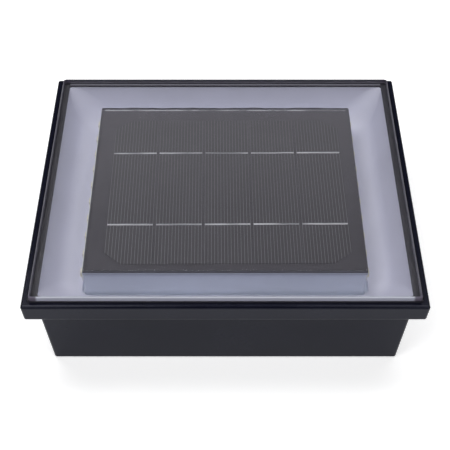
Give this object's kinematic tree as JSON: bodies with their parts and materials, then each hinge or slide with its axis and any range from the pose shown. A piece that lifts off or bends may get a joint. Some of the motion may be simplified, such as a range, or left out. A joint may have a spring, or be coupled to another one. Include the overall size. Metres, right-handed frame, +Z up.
{
  "type": "recessed solar light",
  "caption": "Square in-ground solar light with a drafted plastic bucket, flanged rim, raised glass plate, white reflector cove around a solar panel, side LEDs and a push button below.",
  "frame": {"origin": "middle of the flat base, on the surface that the light stands on", "axes": "+Z up through the glass, +Y away from the side that faces the picture's camera, +X to its right"},
  "size_m": [0.2, 0.2, 0.0496],
  "materials": {
    "housing_plastic": "fine satin, injection moulded, dark grey",
    "cover_glass": "clear toughened, ground and polished edge",
    "seal_rubber": "smooth black sealant",
    "white_reflector": "smooth matte white, light scattering",
    "white_carrier": "smooth matte white",
    "foam_tape": "white foam tape",
    "panel_backing": "dark solder-masked laminate",
    "cell_silicon": "dark coated silicon with thin silver fingers",
    "tinned_copper": "dull tinned ribbon",
    "clear_laminate": "clear film with a slightly uneven rounded edge",
    "white_circuit_board": "white solder mask",
    "led_phosphor": "yellow phosphor in a white case",
    "green_circuit_board": "green solder mask",
    "chip_epoxy": "black moulded epoxy",
    "ferrite": "grey ferrite",
    "capacitor_can": "bright can",
    "connector_nylon": "natural nylon",
    "switch_case": "black moulded plastic",
    "plunger_plastic": "white moulded plastic",
    "button_plastic": "light grey moulded plastic",
    "boot_rubber": "soft black silicone",
    "battery_wrap": "plain green shrink sleeve, unprinted",
    "holder_plastic": "black moulded plastic",
    "contact_steel": "nickel plated",
    "seal_silicone": "red silicone",
    "screw_steel": "stainless",
    "red_insulation": "red wire insulation",
    "black_insulation": "black wire insulation"
  },
  "bodies": {
    "lamp": {"housing": "housing_plastic", "glass_cover": "cover_glass", "glass_seal": "seal_rubber", "reflector_tray": "white_reflector", "carrier": "white_carrier", "panel_tape": "foam_tape", "panel_board": "panel_backing", "solar_cells": "cell_silicon", "busbar_ribbons": "tinned_copper", "panel_laminate": "clear_laminate", "led_boards": "white_circuit_board", "led_chips": "led_phosphor", "control_board": "green_circuit_board", "controller_chips": "chip_epoxy", "inductor": "ferrite", "capacitors": "capacitor_can", "diode": "chip_epoxy", "resistors": "chip_epoxy", "lead_connectors": "connector_nylon", "push_switch": "switch_case", "button_boot": "boot_rubber", "boot_ring": "switch_case", "battery_cell": "battery_wrap", "battery_holder": "holder_plastic", "contact_plates": "contact_steel", "contact_spring": "contact_steel", "service_cover": "housing_plastic", "cover_seal": "seal_silicone", "cover_screws": "screw_steel", "carrier_screws": "screw_steel", "screw_seals": "boot_rubber", "board_screws": "screw_steel", "holder_screws": "screw_steel", "red_leads": "red_insulation", "black_leads": "black_insulation"},
    "button": {"power_button": "button_plastic", "switch_plunger": "plunger_plastic"}
  },
  "joints": [
    {"name": "button_press", "type": "slide", "parent": "lamp", "child": "button", "axis": [0, 0, 1], "range_m": [0, 0.0015], "stiffness_N_per_m": 1500, "deforming": ["button_boot"]}
  ]
}
